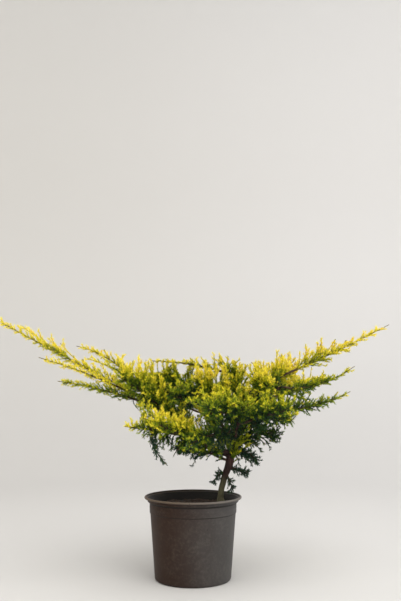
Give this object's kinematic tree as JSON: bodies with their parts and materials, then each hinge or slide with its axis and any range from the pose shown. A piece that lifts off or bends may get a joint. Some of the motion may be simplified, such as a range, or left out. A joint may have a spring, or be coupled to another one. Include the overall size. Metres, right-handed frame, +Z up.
{
  "type": "potted spreading juniper",
  "caption": "Young spreading juniper with lime and gold needle foliage on long arching boughs, rooted in compost in a flared plastic nursery pot.",
  "frame": {"origin": "middle of the pot's flat underside", "axes": "+Z up, -Z out of the pot's underside; +X towards the plant's right, the way that the trunk leans; -Y towards its front"},
  "size_m": [0.7241, 0.4009, 0.4561],
  "materials": {
    "pot": "matte moulded plastic, dusty and lightly scuffed",
    "soil": "damp peat and bark compost",
    "bark": "thin flaking bark, red-brown on the trunk and grey-green at its foot",
    "gold": "golden yellow needles, satin",
    "lime": "lime green needles, satin",
    "deep": "deep bluish green needles, satin"
  },
  "bodies": {
    "root": {"pot": "pot", "soil": "soil", "trunk": "bark", "bough_left": "bark", "bough_centre_left": "bark", "bough_top": "bark", "bough_right": "bark", "bough_right_middle": "bark", "bough_right_low": "bark", "bough_front_left": "bark", "bough_front": "bark", "bough_back_left": "bark", "bough_back_right": "bark", "foliage_left_leader": "gold", "foliage_left_upper": "gold", "foliage_left_lower": "lime", "foliage_left_crest": "gold", "foliage_left_back": "lime", "foliage_centre_left": "lime", "foliage_centre_front": "gold", "foliage_top": "gold", "foliage_top_left": "gold", "foliage_front_left": "gold", "foliage_front_left_crest": "gold", "foliage_front_left_hanging": "deep", "foliage_front": "gold", "foliage_front_right": "lime", "foliage_front_low": "deep", "foliage_back_left": "lime", "foliage_back_middle": "lime", "foliage_back_right": "lime", "foliage_back_far": "lime", "foliage_right_leader": "gold", "foliage_right_crest": "gold", "foliage_right_front": "gold", "foliage_right_middle": "lime", "foliage_right_lower": "lime", "foliage_right_low_front": "lime", "foliage_low_right": "deep", "foliage_low_right_hanging": "deep", "foliage_low_left": "deep", "sprig_left": "deep", "sprig_right": "deep", "sprig_low": "deep", "foliage_left_side": "gold"}
  },
  "joints": []
}
